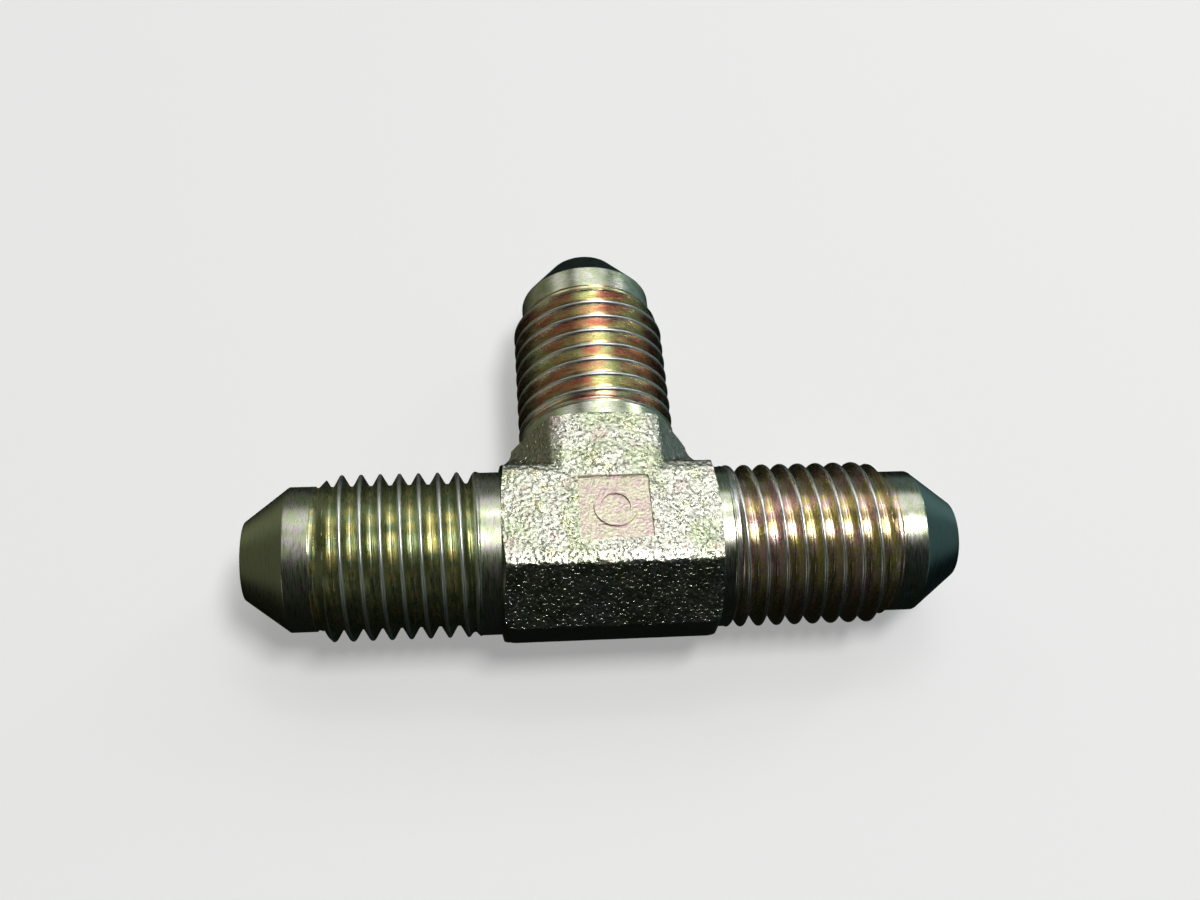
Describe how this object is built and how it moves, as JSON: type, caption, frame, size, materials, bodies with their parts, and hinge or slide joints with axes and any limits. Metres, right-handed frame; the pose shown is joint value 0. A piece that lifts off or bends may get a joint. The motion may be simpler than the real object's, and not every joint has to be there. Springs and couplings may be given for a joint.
{
  "type": "flare union tee",
  "caption": "Forged steel tee that joins three flared tubes, with a male 37 degree cone end on each of its three ports.",
  "frame": {"origin": "the point where the axes of the three bores meet", "axes": "+X along the run to the right-hand port, +Y along the branch port, +Z out of the front flat that carries the badge; the tee lies on its back flat"},
  "size_m": [0.048, 0.0302, 0.0112],
  "materials": {
    "zinc_plate": "yellow chromate zinc plate, satin on the forged faces and turned on the ends"
  },
  "bodies": {
    "root": {"tee_body": "zinc_plate"}
  },
  "joints": []
}
